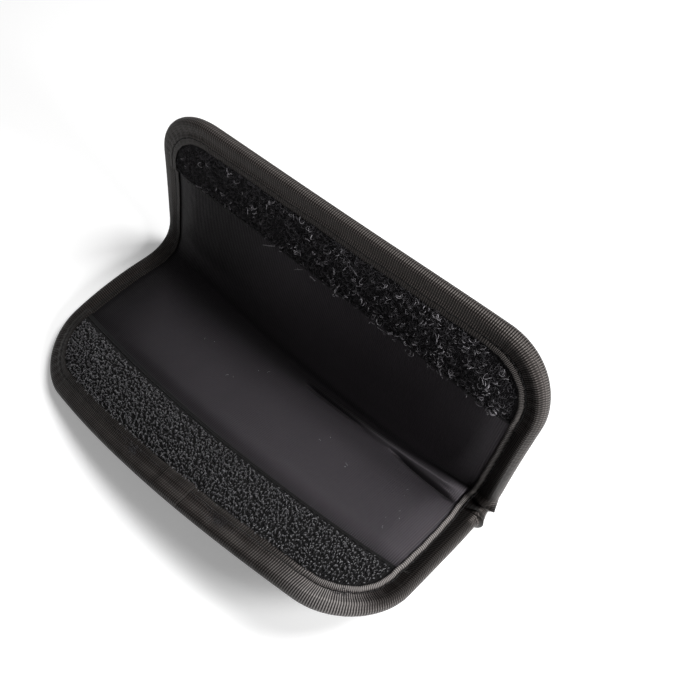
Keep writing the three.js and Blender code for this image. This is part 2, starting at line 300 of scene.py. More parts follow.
class Cloth:
    # a material, and the nodes that colour and raise it

    def __init__(self, name, finish):
        self.material = bpy.data.materials.new(name)
        self.material.use_nodes = True
        self.shader = self.material.node_tree.nodes["Principled BSDF"]
        self.feed(self.shader, finish)

    def feed(self, made, values):
        # each value is a colour, a number or the output of another node
        for key, value in values.items():
            socket = made.inputs[key]
            if isinstance(value, tuple):
                socket.default_value = (*value, 1)
            elif isinstance(value, (int, float)):
                socket.default_value = value
            else:
                self.material.node_tree.links.new(value, socket)

    def node(self, kind, values, **settings):
        made = self.material.node_tree.nodes.new(kind)
        for key, value in settings.items():
            setattr(made, key, value)
        self.feed(made, values)
        return made.outputs

    def sum(self, operation, first, *others):
        for other in others:
            first = self.node("ShaderNodeMath", {0: first, 1: other}, operation=operation)[0]
        return first

    def plus(self, *values):
        return self.sum("ADD", *values)

    def minus(self, first, second):
        return self.sum("SUBTRACT", first, second)

    def times(self, *values):
        return self.sum("MULTIPLY", *values)

    def over(self, first, second):
        return self.sum("DIVIDE", first, second)

    def largest(self, *values):
        return self.sum("MAXIMUM", *values)

    def place(self):
        weave = self.node("ShaderNodeUVMap", {}, uv_map="weave")["UV"]
        parts = self.node("ShaderNodeSeparateXYZ", {0: weave})
        return parts["X"], parts["Y"]

    def mark(self, name):
        return self.node("ShaderNodeAttribute", {}, attribute_name=name)["Fac"]

    def ribs(self, place, pitch):
        # 0 to 1 across each rib of the cloth
        turns = self.times(place, 2 * math.pi / pitch)
        wave = self.node("ShaderNodeMath", {0: turns}, operation="SINE")[0]
        return self.times(self.plus(wave, 1), 0.5)

    def rise(self, value, low, high):
        # 0 to 1 as the value goes from low to high
        run = {"From Min": low, "From Max": high, "Value": value}
        return self.node("ShaderNodeMapRange", run, interpolation_type="SMOOTHSTEP")["Result"]

    def noise(self, size, detail=3, roughness=0.5):
        # noise whose lumps are about size mm
        place = self.node("ShaderNodeTexCoord", {})["Object"]
        grain = {"Vector": place, "Scale": 1 / (size * mm), "Detail": detail, "Roughness": roughness}
        return self.node("ShaderNodeTexNoise", grain)["Fac"]

    def ramp(self, value, *stops):
        # each stop is a place and its colour, in rising order
        made = self.material.node_tree.nodes.new("ShaderNodeValToRGB")
        elements = made.color_ramp.elements
        for element, (place, colour) in zip(elements, (stops[0], stops[-1])):
            element.position = place
            element.color = (*colour, 1)
        for place, colour in stops[1:-1]:
            elements.new(place).color = (*colour, 1)
        self.feed(made, {"Fac": value})
        return made.outputs["Color"]

    def blend(self, amount, first, second):
        return self.node("ShaderNodeMix", {0: amount, 6: first, 7: second}, data_type="RGBA")[2]

    def paint(self, colour):
        self.feed(self.shader, {"Base Color": colour})

    def shine(self, amount):
        self.feed(self.shader, {"Specular IOR Level": amount})

    def raised(self, height, depth, strength=1.0):
        bump = {"Strength": strength, "Distance": depth * mm, "Height": height}
        self.feed(self.shader, {"Normal": self.node("ShaderNodeBump", bump)["Normal"]})


liningLook = {  # runs are from and to, in mm along or across the cloth
    "ribPitch": 0.66, "crossPitch": 0.3,
    "ribDepth": 0.09, "ribTone": 0.35,
    "patchSize": 14, "patchTone": 0.6,
    "puckerSize": 2.5, "dark": (0.0055, 0.005, 0.0058), "light": (0.0135, 0.012, 0.0138),
    # the colour of the painted shade, then where shade and a highlight are painted on the lining
    "hookLayAndPaintedShade": (0.0015, 0.0013, 0.0015), "shine": 0.6,
    "foldPlace": -0.5, "foldDrift": 0.028, "foldStep": 1.8, "foldWidth": 7.4, "foldNarrowing": 0.15,
    "foldNarrowest": 1.2, "foldShade": 0.8,
    "upperLeftAcross": (2, 14), "upperLeftAlong": (-5, -52), "upperLeftShade": 0.75,
    "endAlong": (-30, -70), "endShade": 0.7,
    "grooveShade": 0.85,
    "seatAcross": (-32, -37.5), "seatShade": 0.45,
    "rollHighlightAlong": (15, 48), "rollHighlight": (0.062, 0.057, 0.063),
}


def liningMaterial():
    look = liningLook
    satin = Cloth("liningSatin", {
        "Roughness": 0.5, "Specular Tint": (1, 0.9, 1), "Sheen Weight": 0.05,
        "Sheen Roughness": 0.4,
    })
    along, across = satin.place()
    rib = satin.ribs(along, look["ribPitch"])
    patch = satin.noise(look["patchSize"], 4)
    tone = satin.plus(satin.times(rib, look["ribTone"]), satin.times(patch, look["patchTone"]))
    # painted shade along the fold, over a wider strip at the left
    step = satin.times(satin.rise(along, *crease["rightRun"]), look["foldStep"])
    away = satin.minus(satin.minus(across, look["foldPlace"]), satin.times(along, look["foldDrift"]))
    width = satin.minus(look["foldWidth"], satin.times(along, look["foldNarrowing"]))
    away = satin.over(satin.minus(away, step), satin.largest(width, look["foldNarrowest"]))
    fold = satin.over(look["foldShade"], satin.plus(satin.times(away, away), 1))
    # painted shade at the left of the upper leaf, at the left end, in the grooves and beside the hook tape
    turned = satin.times(satin.rise(across, *look["upperLeftAcross"]), satin.rise(along, *look["upperLeftAlong"]))
    turned = satin.times(turned, look["upperLeftShade"])
    end = satin.times(satin.rise(along, *look["endAlong"]), look["endShade"])
    groove = satin.times(satin.mark("groove"), look["grooveShade"])
    besideTape = satin.times(satin.rise(across, *look["seatAcross"]), look["seatShade"])
    hookLayAndPaintedShade = satin.largest(fold, turned, end, groove, besideTape)
    # painted highlight on the roll towards the right
    rollHighlight = satin.times(satin.rise(along, *look["rollHighlightAlong"]), satin.mark("rollHighlight"))
    colour = satin.ramp(tone, (0.2, look["dark"]), (0.75, look["light"]))
    colour = satin.blend(rollHighlight, colour, look["rollHighlight"])
    # all this painted shade is laid on in its own dark colour, and the shine is taken off there
    satin.paint(satin.blend(hookLayAndPaintedShade, colour, look["hookLayAndPaintedShade"]))
    satin.shine(satin.times(satin.minus(1, hookLayAndPaintedShade), look["shine"]))
    crossing = satin.times(satin.ribs(across, look["crossPitch"]), 0.3)
    pucker = satin.times(satin.noise(look["puckerSize"], 5), 1.2)
    satin.raised(satin.plus(rib, crossing, pucker), look["ribDepth"], 0.8)
    return satin.material


coverLook = {
    "napSize": 0.35, "strokeSize": 22,
    "speckSize": 1.1, "speckEdge": (0.765, 0.79),
    "napDepth": 0.2, "dark": (0.0075, 0.007, 0.0082), "light": (0.02, 0.0188, 0.0215),
    "lint": (0.10, 0.10, 0.11),
}


def coverMaterial():
    look = coverLook
    brushed = Cloth("brushedCover", {
        "Roughness": 0.8, "Specular IOR Level": 0.15, "Sheen Weight": 0.06,
        "Sheen Roughness": 0.45,
    })
    nap = brushed.noise(look["napSize"], 4, 0.65)
    stroke = brushed.noise(look["strokeSize"])
    tone = brushed.plus(brushed.times(nap, 0.5), brushed.times(stroke, 0.6))
    colour = brushed.ramp(tone, (0.3, look["dark"]), (0.8, look["light"]))
    speckFrom, speckTo = look["speckEdge"]
    specks = brushed.ramp(brushed.noise(look["speckSize"], 2), (speckFrom, black), (speckTo, white))
    brushed.paint(brushed.blend(specks, colour, look["lint"]))
    brushed.raised(brushed.plus(nap, brushed.times(stroke, 2)), look["napDepth"])
    return brushed.material


bindingLook = {  # runs across the tape go from its outer edge at 0, by way of the rim, to the lip
    "threadPitch": 0.72, "threadDepth": 0.16,
    "dark": (0.0016, 0.0012, 0.0011), "middle": (0.012, 0.0098, 0.0093),
    # lip is also the colour of the painted highlights, and dark that of the painted shade
    "light": (0.105, 0.091, 0.086), "dust": (0.09, 0.083, 0.078), "lip": (0.3, 0.282, 0.276),
    "shine": 0.4, "tuckedFrom": (7.4, 8.4), "shadeFrom": (10.8, 12.4),
    "troughFrom": (12.6, 14.2), "troughTo": (17.1, 16.6),
    "glareTo": (17, 15.5),
    "lipFrom": (16.8, 17.4), "lipTo": (19.4, 19.0),
    "edgeFrom": (19, 19.6),
}


def bindingMaterial():
    look = bindingLook
    woven = Cloth("bindingWeave", {
        "Roughness": 0.45, "Specular Tint": (1, 0.93, 0.88), "Sheen Weight": 0.03,
        "Sheen Roughness": 0.4,
    })
    along, across = woven.place()
    names = ("rightEndShare", "hollow", "shade", "pale", "tucked", "leftShade", "glare")
    rightEndShare, hollow, shade, pale, tucked, leftShade, glare = [woven.mark(name) for name in names]

    def run(key):
        return woven.rise(across, *look[key])

    warp = woven.ribs(across, look["threadPitch"])
    weft = woven.ribs(along, look["threadPitch"])
    lip = woven.times(run("lipFrom"), run("lipTo"))
    knots = woven.times(woven.plus(woven.times(woven.largest(warp, lip), 0.4), 0.6), weft)
    height = woven.plus(knots, woven.times(weft, 0.12))
    wear = woven.noise(5, 5, 0.6)
    tone = woven.plus(woven.times(height, 0.85), woven.times(wear, 0.25))
    colour = woven.ramp(tone, (0.2, look["dark"]), (0.55, look["middle"]), (1.0, look["light"]))
    dusty = woven.ramp(woven.noise(1.6, 4, 0.7), (0.64, black), (0.8, (0.6, 0.6, 0.6)))
    colour = woven.blend(dusty, colour, look["dust"])
    # painted highlight on the rim at the lower right corner
    glare = woven.times(glare, weft, run("glareTo"))
    colour = woven.blend(glare, colour, look["lip"])
    # painted shade: a dark trough beside the lip, and on the pleats and the left part
    trough = woven.times(run("troughFrom"), woven.times(hollow, 0.9))
    deep = woven.times(run("shadeFrom"), woven.times(shade, 0.75))
    trough = woven.times(woven.largest(trough, deep), run("troughTo"))
    leftShade = woven.times(leftShade, woven.plus(woven.times(wear, 0.9), 0.05))
    tucked = woven.times(tucked, run("tuckedFrom"))
    shaded = woven.largest(leftShade, tucked, trough)
    colour = woven.blend(shaded, colour, look["dark"])
    woven.shine(woven.times(woven.minus(1, shaded), look["shine"]))
    # painted highlight on the lip at the right end, painted shade on it elsewhere, and a painted shadow as
    # a dark edge inside it
    dim = woven.times(lip, woven.minus(1, pale), 0.6)
    edge = woven.times(run("edgeFrom"), woven.plus(woven.times(rightEndShare, 0.6), 0.3))
    colour = woven.blend(woven.largest(dim, edge), colour, look["dark"])
    pale = woven.times(lip, pale, woven.times(weft, 0.7))
    woven.paint(woven.blend(pale, colour, look["lip"]))
    woven.raised(woven.plus(height, woven.times(wear, 0.6)), look["threadDepth"])
    return woven.material


tapeLook = {
    "ribPitch": 0.6, "cordPitch": 0.9, "ribDepth": 0.12, "patchSize": 3,
    "hookDark": (0.0015, 0.0014, 0.0016), "hookLight": (0.0075, 0.0072, 0.0078),
    "loopDark": (0.008, 0.0074, 0.0086), "loopLight": (0.02, 0.0185, 0.021),
}


def tapeMaterial(name, dark, light):
    woven = Cloth(name, {
        "Roughness": 0.75, "Specular IOR Level": 0.15, "Sheen Weight": 0.03,
        "Sheen Roughness": 0.5,
    })
    along, across = woven.place()
    rib = woven.ribs(along, tapeLook["ribPitch"])
    cord = woven.ribs(across, tapeLook["cordPitch"])
    patch = woven.noise(tapeLook["patchSize"], 4)
    tone = woven.plus(woven.times(rib, 0.4), woven.times(patch, 0.6))
    woven.paint(woven.ramp(tone, (0.25, dark), (0.85, light)))
    woven.raised(woven.plus(rib, woven.times(cord, 0.5)), tapeLook["ribDepth"])
    return woven.material


threads = {  # dark and light colour, roughness, shine, sheen and size of the clumps in mm
    "hookNylon": ((0.013, 0.0128, 0.0145), (0.17, 0.167, 0.176), 0.28, 1.0, 0, 0.8),
    "loopNylon": ((0.014, 0.013, 0.015), (0.05, 0.0465, 0.0525), 0.5, 0.3, 0.1, 2.2),
    "brightNylon": ((0.04, 0.038, 0.042), (0.4, 0.38, 0.41), 0.3, 0.7, 0.05, 4),
    "sewingThread": ((0.0025, 0.0024, 0.0026), (0.009, 0.0085, 0.009), 0.65, 0.2, 0.05, 9),
    "lintFluff": ((0.22, 0.22, 0.23), (0.5, 0.5, 0.5), 0.8, 0.5, 0.2, 9),
    "foamCells": ((0.02, 0.02, 0.022), (0.04, 0.04, 0.043), 0.9, 0.5, 0.2, 1),
}


def threadMaterial(name, dark, light, roughness, shine, sheen, clump):
    thread = Cloth(name, {
        "Roughness": roughness, "Specular IOR Level": shine, "Sheen Weight": sheen,
        "Sheen Roughness": 0.35,
    })
    clumps = thread.times(thread.noise(clump), 0.7)
    tone = thread.plus(clumps, thread.times(thread.noise(0.5, 2), 0.3))
    thread.paint(thread.ramp(tone, (0.35, dark), (0.65, light)))
    thread.raised(thread.noise(0.15, 2), 0.02, 0.5)
    return thread.material


liningCloth = liningMaterial()
coverCloth = coverMaterial()
bindingCloth = bindingMaterial()
hookTapeCloth = tapeMaterial("hookTapeWeave", tapeLook["hookDark"], tapeLook["hookLight"])
loopTapeCloth = tapeMaterial("loopTapeWeave", tapeLook["loopDark"], tapeLook["loopLight"])
strands = {name: threadMaterial(name, *look) for name, look in threads.items()}
print("materials ready")

panels = {  # the sheets, in mm
    "cell": 1.5,  # cloth cell while it is simulated, halved afterwards
    "margin": 2, "cap": 0.12, "sewnTo": 8, "freeFrom": 14,
    "tapesFrom": 36, "tapesFull": 38,
    "bunching": 0.6, "frames": 20, "liningForce": 0.004, "coverForce": -0.004,
    "foamMargin": 2.5, "foamColumns": 60, "foamRows": 50, "foamShy": 0.1,
}

settling = {  # how the cloth behaves while it is simulated
    "quality": 4, "mass": 0.002, "tension_stiffness": 8, "compression_stiffness": 8,
    "shear_stiffness": 3, "bending_stiffness": 0.5, "shrink_min": -0.0005,
    "vertex_group_mass": "sewn", "use_pressure": True,
}


def roundedGrid(columns, rows, margin):
    # a grid cut to the rounded outline, less the margin
    bm = bmesh.new()
    bmesh.ops.create_grid(bm, x_segments=columns, y_segments=rows, size=0.5)
    halfU, halfV = pad["halfLength"] - margin, pad["halfWidth"] - margin
    bmesh.ops.scale(bm, vec=(2 * halfU, 2 * halfV, 1), verts=bm.verts)
    radius = pad["corner"] - margin
    for corner in bm.verts:
        # the rows lie closer near the fold
        corner.co.y -= panels["bunching"] * halfV / math.pi * math.sin(math.pi * corner.co.y / halfV)
        x = (abs(corner.co.x) - halfU + radius) / radius
        y = (abs(corner.co.y) - halfV + radius) / radius
        if x > 0 and y > 0:
            roundX, roundY = x * math.sqrt(1 - y * y / 2), y * math.sqrt(1 - x * x / 2)
            corner.co.x = math.copysign(halfU - radius + radius * roundX, corner.co.x)
            corner.co.y = math.copysign(halfV - radius + radius * roundY, corner.co.y)
    return bm


def simulated(piece, held, force):
    # lets the cloth settle between its seams and gives its new places
    group = piece.vertex_groups.new(name="sewn")
    for i, weight in enumerate(held):
        group.add([i], float(weight), "REPLACE")
    cloth = piece.modifiers.new("cloth", "CLOTH")
    for key, value in settling.items():
        setattr(cloth.settings, key, value)
    cloth.settings.uniform_pressure_force = force
    cloth.settings.effector_weights.gravity = 0
    cloth.collision_settings.use_collision = False
    cloth.collision_settings.use_self_collision = False
    for i in range(panels["frames"]):
        scene.frame_set(i + 1)
    graph = bpy.context.evaluated_depsgraph_get()
    settled = piece.evaluated_get(graph).to_mesh()
    points = readCorners(settled)
    piece.evaluated_get(graph).to_mesh_clear()
    piece.modifiers.remove(cloth)
    scene.frame_set(1)
    return points


def pushOf(name, mesh, flat, rest, sewnZones, force):
    # how far the simulation moves each point, softly capped
    trial = bpy.data.objects.new(name + "Trial", mesh)
    scene.collection.objects.link(trial)
    writeCorners(mesh, rest)
    u, v = flat[:, 0], flat[:, 1]
    held = 1 - rising(insetOf(u, v), panels["sewnTo"], panels["freeFrom"])
    held = np.maximum(held, sewnZones(u, v))
    push = simulated(trial, held, force) - rest
    bpy.data.objects.remove(trial)
    far = np.linalg.norm(push, axis=1, keepdims=True)
    print(name, "moved by up to %.2f mm, mean %.2f mm" % (far.max() / mm, far.mean() / mm))
    cap = panels["cap"] * mm
    return push * cap * np.tanh(far / cap) / np.maximum(far, 1e-9)


def panel(name, heightAt, material, sewnZones, force, marks):
    columns = round(2 * pad["halfLength"] / panels["cell"])
    rows = round(2 * pad["halfWidth"] / panels["cell"])
    bm = roundedGrid(columns, rows, panels["margin"])
    mesh = bpy.data.meshes.new(name)
    bm.to_mesh(mesh)
    flat = readCorners(mesh)
    flat[:, 2] = heightAt(flat[:, 0], flat[:, 1])
    rest = bentOver(flat)
    push = np.zeros_like(rest)
    push = pushOf(name, mesh, flat, rest, sewnZones, force)
    bpy.data.meshes.remove(mesh)
    layer = bm.verts.layers.float_vector.new("push")
    for corner, amount in zip(bm.verts, push):
        corner[layer] = amount
    bmesh.ops.subdivide_edges(bm, edges=bm.edges[:], cuts=1, use_grid_fill=True)
    mesh = meshOf(bm, name)
    flat = readCorners(mesh)
    u, v = flat[:, 0], flat[:, 1]
    flat[:, 2] = heightAt(u, v)
    push = np.empty(len(mesh.vertices) * 3)
    mesh.attributes["push"].data.foreach_get("vector", push)
    mesh.attributes.remove(mesh.attributes["push"])
    markWeave(mesh, flat[:, :2])
    markPoints(mesh, {mark: valueAt(u, v) for mark, valueAt in marks.items()})
    points = bentOver(flat) + push.reshape(-1, 3)
    points[:, 2] = np.maximum(points[:, 2], 0)
    writeCorners(mesh, points)
    return shown(name, mesh, material)


def underTapes(u, v):
    # the tapes hold the lining flat
    return rising(np.abs(v), panels["tapesFrom"], panels["tapesFull"])


def underNothing(u, v):
    return np.zeros_like(u)


# the grooves and the roll are marked for the lining's painted shade and painted highlight
creaseMarks = {"groove": grooveAt, "rollHighlight": rollAt}
lining = panel("liningPanel", liningTop, liningCloth, underTapes, panels["liningForce"], creaseMarks)
thicken(lining, pad["lining"])
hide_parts("inner_lining")
print("lining sewn")

cover = panel("coverPanel", coverBottom, coverCloth, underNothing, panels["coverForce"], {})
cover.data.flip_normals()
thicken(cover, pad["cover"])
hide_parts("outer_cover")
print("cover sewn")


def makeFoam():
    bm = roundedGrid(panels["foamColumns"], panels["foamRows"], panels["foamMargin"])
    grown = bmesh.ops.extrude_face_region(bm, geom=bm.faces[:])["geom"]
    bmesh.ops.translate(bm, vec=(0, 0, 1), verts=only(bmesh.types.BMVert, grown))
    bmesh.ops.recalc_face_normals(bm, faces=bm.faces[:])
    mesh = meshOf(bm, "foamCore")
    flat = readCorners(mesh)
    u, v = flat[:, 0], flat[:, 1]
    top = foamHalf(u, v) + creaseAt(u, v) - panels["foamShy"]
    bottom = panels["foamShy"] - foamHalf(u, v)
    flat[:, 2] = np.where(flat[:, 2] > 0.5, top, bottom)
    layFlat(mesh, flat)
    return shown("foamCore", mesh, strands["foamCells"])


foam = makeFoam()
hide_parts("foam_core")
print("foam laid")

tape = {  # both hook and loop tapes, in mm
    "width": 20, "thickness": 0.5, "outer": 58.25, "selvedge": 2.5, "endInset": 5,
    "fieldEnd": 56, "bindingFace": 7.5, "columns": 230, "rows": 40, "cordHeight": 0.12,
    "edgeDrop": 0.25, "edgeRun": 0.5,
    "shy": 0.1,
}
tape["inner"] = tape["outer"] - tape["width"]


def tapeTop(u, v):
    return liningTop(u, v) + pad["gap"] + tape["thickness"]


def makeTape(name, side, material):
    mesh = flatGrid(name, tape["columns"], tape["rows"])
    flat = readCorners(mesh)
    v = side * (tape["inner"] + tape["width"] * (flat[:, 1] * side + 0.5))
    u = flat[:, 0] * 2 * halfLengthAt(v, tape["endInset"])
    fromEdge = np.abs(v) - tape["inner"]
    cords = np.cos(fromEdge * 2 * math.pi / tapeLook["cordPitch"]) * (fromEdge < tape["selvedge"])
    edge = tape["edgeDrop"] * (1 - smooth(fromEdge / tape["edgeRun"]))
    layFlat(mesh, np.stack([u, v, tapeTop(u, v) + tape["cordHeight"] * cords - edge], 1))
    piece = shown(name, mesh, material)
    thicken(piece, tape["thickness"] - tape["shy"])
    return piece


hookTape = makeTape("hookTape", -1, hookTapeCloth)
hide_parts("hook_strip")
loopTape = makeTape("loopTape", 1, loopTapeCloth)
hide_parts("loop_strip")
print("tapes laid")


def tubeAlong(path, radius, sides):
    # a thin tube pulled along a few points
    bm = bmesh.new()
    path = [Vector(point) for point in path]
    heading = (path[1] - path[0]).normalized()
    ring = bmesh.ops.create_circle(bm, cap_ends=True, radius=radius, segments=sides)["verts"]
    facing = Vector((0, 0, 1)).rotation_difference(heading).to_matrix()
    bmesh.ops.rotate(bm, cent=(0, 0, 0), matrix=facing, verts=ring)
    bmesh.ops.translate(bm, vec=path[0], verts=ring)
    face = bm.faces[:][0]
    for i in range(1, len(path)):
        after = path[min(i + 1, len(path) - 1)] - path[i - 1]
        turned = heading.rotation_difference(after.normalized())
        grown = bmesh.ops.extrude_face_region(bm, geom=[face])["geom"]
        fresh = only(bmesh.types.BMVert, grown)
        cap = only(bmesh.types.BMFace, grown)[0]
        bmesh.ops.translate(bm, vec=path[i] - path[i - 1], verts=fresh)
        bmesh.ops.rotate(bm, cent=path[i], matrix=turned.to_matrix(), verts=fresh)
        if i > 1:
            bmesh.ops.delete(bm, geom=[face], context="FACES_ONLY")
        face = cap
        heading = after.normalized()
    bmesh.ops.recalc_face_normals(bm, faces=bm.faces[:])
    return bm


def scattered(name, templates, places):
    # copies of small shapes, each turned, sized and put at its place
    field = bmesh.new()
    for kind, place in places:
        copy = templates[kind].copy()
        copy.transform(place)
        field.from_mesh(copy)
        bpy.data.meshes.remove(copy)
    return meshOf(field, name)


def onSurface(name, templates, places, surface, strand):
    mesh = scattered(name, templates, places)
    flat = readCorners(mesh)
    flat[:, 2] += surface(flat[:, 0], flat[:, 1])
    writeCorners(mesh, bentOver(flat))
    shown(name, mesh, strands[strand])


def placed(u, v, w, turn, size=1.0, tilt=0.0, stretch=1.0):
    spot = Matrix.Translation((u, v, w)) @ Matrix.Rotation(turn, 4, "Z") @ Matrix.Rotation(tilt, 4, "X")
    return spot @ Matrix.Diagonal((size, size, size * stretch, 1))


def anyTurn():
    return dice.uniform(0, 6.28)


hooks = {  # in mm, with spreads as standard deviations
    "height": 1.15, "reach": 0.5, "radius": 0.115, "root": 0.15,
    "bendSteps": (50, 95, 140, 185), "longer": (0, 25), "rowPitch": 0.76, "hookPitch": 0.84,
    "firstRow": 0.4, "fromBinding": 0.6, "sizes": (0.8, 1.08), "alongSpread": 0.2,
    "acrossSpread": 0.22, "turnSpread": 0.7, "laySpread": 0.3,
    "crushedPlace": -48, "crushedWidth": 12, "crushedLay": 0.3,
}


def hookTemplate(lengthen):
    half = hooks["reach"] / 2
    top = hooks["height"] - half
    path = [(0, 0, -hooks["root"]), (0, 0, top)]
    steps = hooks["bendSteps"]
    for step in (*steps[:-1], steps[-1] + lengthen):
        angle = math.radians(180 - step)
        path.append((half + half * math.cos(angle), 0, top + half * math.sin(angle)))
    return meshOf(tubeAlong(path, hooks["radius"], 4), "hookShape")


def makeHooks():
    places = []
    field = tape["fieldEnd"] - tape["inner"] - tape["selvedge"]
    for row in range(int(field / hooks["rowPitch"])):
        v = -(tape["inner"] + tape["selvedge"] + hooks["firstRow"] + row * hooks["rowPitch"])
        reach = float(halfLengthAt(v, tape["bindingFace"] + hooks["fromBinding"]))
        for i in range(int(2 * reach / hooks["hookPitch"])):
            # every other row starts half a pitch on
            u = -reach + (i + 0.5 * (row % 2) + 0.25) * hooks["hookPitch"]
            u += dice.gauss(0, hooks["alongSpread"])
            turn = math.radians(90 if dice.random() < 0.5 else -90)
            turn += dice.gauss(0, hooks["turnSpread"])
            hookLayAndPaintedShade = bell(u - hooks["crushedPlace"], hooks["crushedWidth"])
            lay = dice.gauss(0, hooks["laySpread"]) + hooks["crushedLay"] * hookLayAndPaintedShade
            size = dice.uniform(*hooks["sizes"])
            kind = dice.randint(0, 1)
            off = dice.gauss(0, hooks["acrossSpread"])
            places.append((kind, placed(u, v + off, 0, turn, size, lay)))
    templates = [hookTemplate(lengthen) for lengthen in hooks["longer"]]
    onSurface("hookField", templates, places, tapeTop, "hookNylon")
    print("hooks stand:", len(places))


makeHooks()

loops = {  # in mm; a shape is its width, height, twist and half turns
    "count": 3300, "radius": 0.065, "heights": (0.75, 1.55), "usualHeight": 1.2,
    "sizes": (0.7, 1.15), "tiltSpread": 0.5, "overSelvedge": 1.4, "fromBinding": 0.8,
    "shapes": [
        (1.1, 1.0, 0.15, 1),
        (1.5, 1.2, 0.4, 1.1),
        (0.9, 1.3, 0.3, 1.3),
        (1.8, 0.9, 0.6, 1.2),
        (1.3, 0.8, 0.5, 1.6),
    ],
}
strays = {
    "count": 330, "radius": 0.085, "halfReach": 66, "overEdge": 0.3, "shortOfEnd": 0.5,
    "fromBinding": 1.5, "lifts": (0.3, 1.0), "sizes": (0.45, 1),
    "shapes": [(2.0, 0.8, 0.9, 1.2), (1.5, 1.0, 0.7, 1.7), (1.1, 0.7, 0.5, 2.1)],
    "hairShape": (5.2, 0.5, 0.3, 1.0), "hairRadius": 0.13,
    "hairs": [(-25, 38, 0.9, 0.62, 1, 0.3), (-12, 37.5, 0.9, 0.75, 0.75, 0.2)],
}


def curlTemplate(width, height, twist, turns, radius=loops["radius"]):
    path = []
    steps = 7
    for i in range(steps + 1):
        t = i / steps
        angle = math.pi * turns * t
        x = -width / 2 * math.cos(angle)
        y = twist * math.sin(angle * 1.4)
        path.append((x, y, height * math.sin(math.pi * t) - 0.1))
    return meshOf(tubeAlong(path, radius, 3), "curlShape")


def makeLoops():
    places = []
    inner = tape["inner"] + tape["selvedge"] - loops["overSelvedge"]
    while len(places) < loops["count"]:
        v = dice.uniform(inner, tape["fieldEnd"])
        reach = float(halfLengthAt(v, tape["bindingFace"] + loops["fromBinding"]))
        u = dice.uniform(-reach, reach)
        # the pile is thinner in patches
        clump = math.sin(u * 0.41 + 1.3) * math.sin(v * 0.6 + u * 0.13)
        if dice.random() > 0.72 + 0.28 * clump:
            continue
        tall = dice.uniform(*loops["heights"]) / loops["usualHeight"]
        kind = dice.randint(0, 4)
        turn = anyTurn()
        size = dice.uniform(*loops["sizes"])
        places.append((kind, placed(u, v, 0, turn, size, dice.gauss(0, loops["tiltSpread"]), tall)))
    templates = [curlTemplate(*shape) for shape in loops["shapes"]]
    onSurface("loopField", templates, places, tapeTop, "loopNylon")


def makeStrays():
    # pulled-out, paler threads that stand out of the loops, more of them at the right
    places = [(3, placed(*hair)) for hair in strays["hairs"]]
    while len(places) < strays["count"]:
        u = dice.uniform(-strays["halfReach"], strays["halfReach"])
        v = dice.uniform(tape["inner"] - strays["overEdge"], tape["fieldEnd"] - strays["shortOfEnd"])
        reach = float(halfLengthAt(v, tape["bindingFace"] + strays["fromBinding"]))
        clump = math.sin(u * 0.33 + 0.5) * math.sin(v * 0.5 + u * 0.1)
        thickness = 0.03 + 0.65 * rising(u, -50, 40) + 0.45 * clump
        if abs(u) > reach or dice.random() > thickness:
            continue
        kind = dice.randint(0, 2)
        lift = dice.uniform(*strays["lifts"])
        turn = anyTurn()
        size = dice.uniform(*strays["sizes"])
        places.append((kind, placed(u, v, lift, turn, size, dice.gauss(0, loops["tiltSpread"]))))
    templates = [curlTemplate(*shape, strays["radius"]) for shape in strays["shapes"]]
    templates.append(curlTemplate(*strays["hairShape"], strays["hairRadius"]))
    onSurface("strayLoops", templates, places, tapeTop, "brightNylon")


makeLoops()
makeStrays()
print("loops curled")

binding = {  # in mm
    "thickness": 0.45, "rimTurn": 1.6, "shoulder": 0.5,
    "lapPlace": -1, "lapLength": 11, "lapStep": 0.4, "lapRamp": 0.8,
    "gather": 0.16, "gatherPitch": 3.4,
    "slack": 0.12, "slackPuff": 0.42,
    "rightRun": (40, 65), "step": 0.42, "rowPitch": 0.62,
}

straightU = 2 * (pad["halfLength"] - pad["corner"])
straightV = 2 * (pad["halfWidth"] - pad["corner"])
quarter = math.pi / 2 * pad["corner"]
rimLength = 2 * straightU + 2 * straightV + 4 * quarter


def rimTable():
    # u, v and the inward direction along the rim, from the lap on the hook side
    along = np.linspace(0, rimLength + 20, 4000)
    lengths = [straightU, quarter, straightV, quarter] * 2
    reachU, reachV, radius = straightU / 2, straightV / 2, pad["corner"]
    straights = {0: (-1, -1, 1, 0), 2: (1, -1, 0, 1), 4: (1, 1, -1, 0), 6: (-1, 1, 0, -1)}
    corners = {1: (1, -1, 270), 3: (1, 1, 0), 5: (-1, 1, 90), 7: (-1, -1, 180)}
    rows = []
    for distance in along:
        left = (distance + straightU / 2 + binding["lapPlace"]) % rimLength
        leg = 0
        while left > lengths[leg]:
            left -= lengths[leg]
            leg += 1
        if leg in straights:
            sideU, sideV, stepU, stepV = straights[leg]
            inU, inV = -stepV, stepU
            u = sideU * reachU + stepU * left - inU * radius
            v = sideV * reachV + stepV * left - inV * radius
        else:
            sideU, sideV, start = corners[leg]
            angle = math.radians(start + 90 * left / quarter)
            inU, inV = -math.cos(angle), -math.sin(angle)
            u = sideU * reachU - inU * radius
            v = sideV * reachV - inV * radius
        rows.append((u, v, inU, inV))
    return along, np.array(rows)


rimAlong, rimRows = rimTable()


def rimAt(along):
    return [np.interp(along, rimAlong, rimRows[:, i]) for i in range(4)]


def tuckRise(u, v):
    # the tapes' ends and outer edges lie under the binding
    across = np.minimum(tape["outer"] - np.abs(v), np.abs(v) - tape["inner"])
    within = np.minimum(across, insetOf(u, v) - tape["endInset"])
    return (tape["thickness"] + pad["gap"]) * smooth(within + 1)


def bindingFront(u, v):
    return liningTop(u, v) + pad["gap"] + tuckRise(u, v)


def bindingUnder(u, v):
    return coverBottom(u, v) - pad["gap"]


